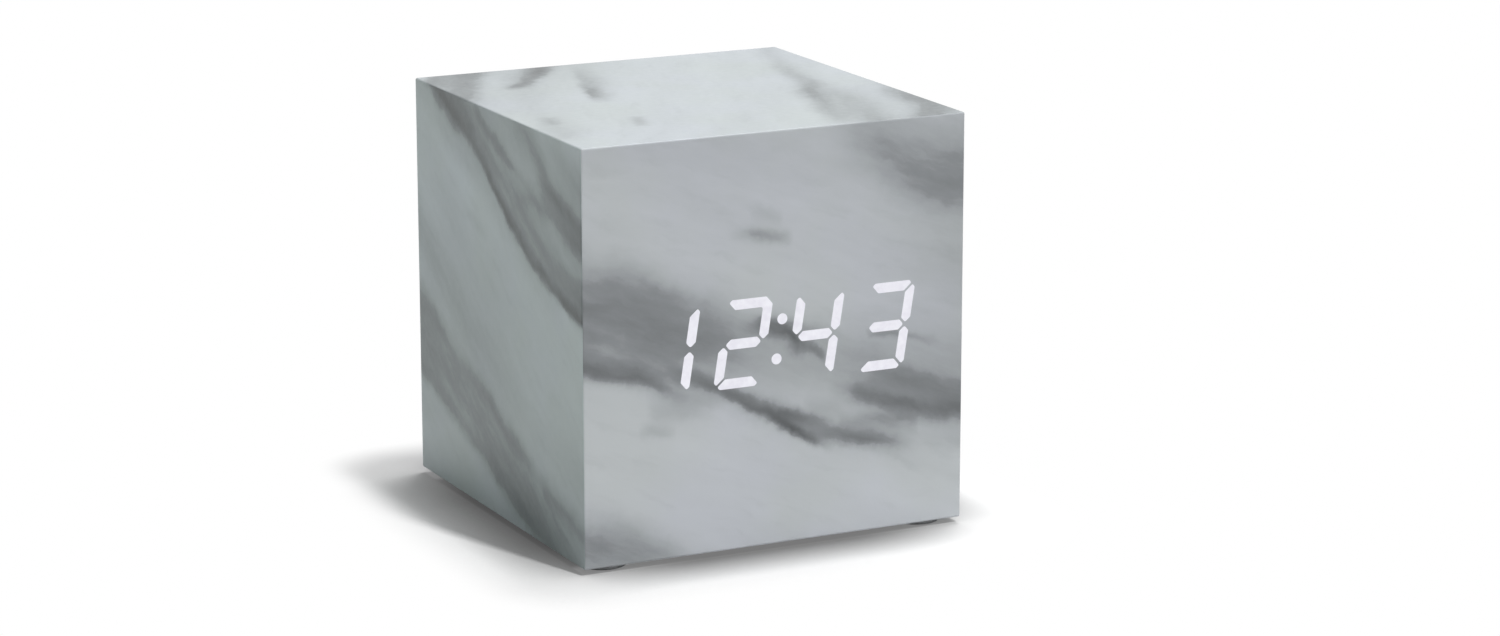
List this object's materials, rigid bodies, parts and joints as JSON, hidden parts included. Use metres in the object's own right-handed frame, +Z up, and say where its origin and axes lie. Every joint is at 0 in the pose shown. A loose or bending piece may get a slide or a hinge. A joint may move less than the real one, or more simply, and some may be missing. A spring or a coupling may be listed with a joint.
{
  "type": "led cube clock",
  "caption": "Marble-wrapped wooden cube clock with digits glowing through the front, a rear control plate with push buttons and a power inlet, and a battery door in the base.",
  "frame": {"origin": "middle of the footprint, on the surface that the clock stands on", "axes": "+Z up, front with the digits towards -Y, +X to the right of someone facing the front"},
  "size_m": [0.068, 0.068, 0.069],
  "materials": {
    "board_wood": "plain medium-density fibreboard",
    "marble_film": "satin printed film, grey marble",
    "lit": "lit, cool white",
    "foot_rubber": "matt black",
    "diffuser": "translucent white",
    "white_plastic": "white",
    "chips": "phosphor yellow",
    "circuit_board": "green solder mask",
    "steel": "zinc plated",
    "black_plastic": "fine spark texture",
    "nickel": "nickel plated",
    "can": "satin",
    "bead": "black epoxy",
    "grey_cable": "grey",
    "red_lead": "red",
    "black_lead": "black",
    "cell_jacket": "dark plain sleeve"
  },
  "bodies": {
    "case": {"front_panel": "board_wood", "back_panel": "board_wood", "left_panel": "board_wood", "right_panel": "board_wood", "top_panel": "board_wood", "base_panel": "board_wood", "marble_film": "marble_film", "lit_segments": "lit", "rubber_feet": "foot_rubber", "diffuser_sheet": "diffuser", "reflector_block": "white_plastic", "segment_leds": "chips", "display_board": "circuit_board", "display_screws": "steel", "rear_plate": "black_plastic", "tact_switches": "black_plastic", "dc_jack": "black_plastic", "jack_pin": "nickel", "main_board": "circuit_board", "main_board_screws": "steel", "clock_chip": "black_plastic", "crystal": "nickel", "buzzer": "black_plastic", "microphone": "nickel", "capacitor": "can", "thermistor": "bead", "ribbon_headers": "black_plastic", "ribbon_cable": "grey_cable", "battery_box": "black_plastic", "box_screws": "steel", "battery_front": "cell_jacket", "battery_middle": "cell_jacket", "battery_rear": "cell_jacket", "negative_contact": "nickel", "right_bridge": "nickel", "left_bridge": "nickel", "positive_contact": "nickel", "contact_springs": "nickel", "battery_lead_red": "red_lead", "battery_lead_black": "black_lead"},
    "set_key": {"set_button": "black_plastic", "set_stem": "black_plastic"},
    "up_key": {"up_button": "black_plastic", "up_stem": "black_plastic"},
    "down_key": {"down_button": "black_plastic", "down_stem": "black_plastic"},
    "door": {"battery_door": "black_plastic", "door_latch": "black_plastic"}
  },
  "joints": [
    {"name": "set_press", "type": "slide", "parent": "case", "child": "set_key", "axis": [0, -1, 0], "range_m": [0, 0.0005], "stiffness_N_per_m": 1500, "springref_m": -0.0003},
    {"name": "up_press", "type": "slide", "parent": "case", "child": "up_key", "axis": [0, -1, 0], "range_m": [0, 0.0005], "stiffness_N_per_m": 1500, "springref_m": -0.0003},
    {"name": "down_press", "type": "slide", "parent": "case", "child": "down_key", "axis": [0, -1, 0], "range_m": [0, 0.0005], "stiffness_N_per_m": 1500, "springref_m": -0.0003},
    {"name": "door_swing", "type": "hinge", "parent": "case", "child": "door", "pos_m": [0, -0.01725, 0.001], "axis": [-1, 0, 0], "range_deg": [0, 60], "deforming": ["door_latch"]}
  ]
}
